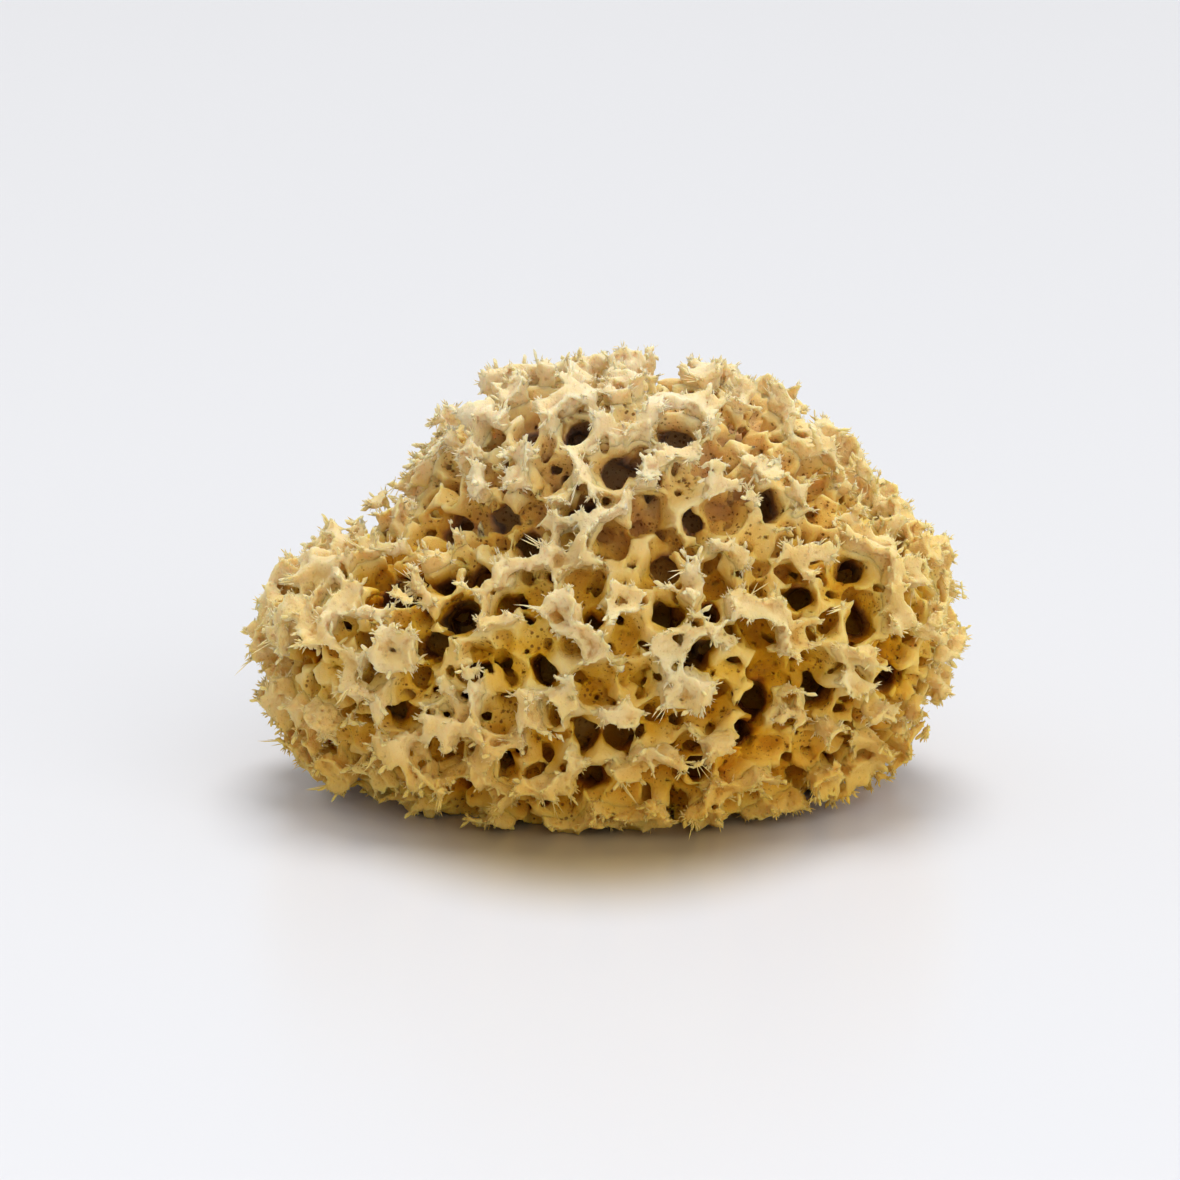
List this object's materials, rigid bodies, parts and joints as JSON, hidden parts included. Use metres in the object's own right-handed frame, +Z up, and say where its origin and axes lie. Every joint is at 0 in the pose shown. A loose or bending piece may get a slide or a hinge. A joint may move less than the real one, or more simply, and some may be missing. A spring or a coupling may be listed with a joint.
{
  "type": "sea sponge",
  "caption": "Natural sea sponge skeleton for bathing: a low mound with open canals, starry surface tufts and a flat cut base.",
  "frame": {"origin": "middle of the bounding box, on the flat cut base", "axes": "+Z up from the base, +X to the right along the longest side, the front looks towards -Y"},
  "size_m": [0.1392, 0.105, 0.0873],
  "materials": {
    "sponge": "dry, matt, springy natural fibre, pale cream at the tips, ochre in the walls and brown down in the canals"
  },
  "bodies": {
    "root": {"sponge": "sponge"}
  },
  "joints": []
}
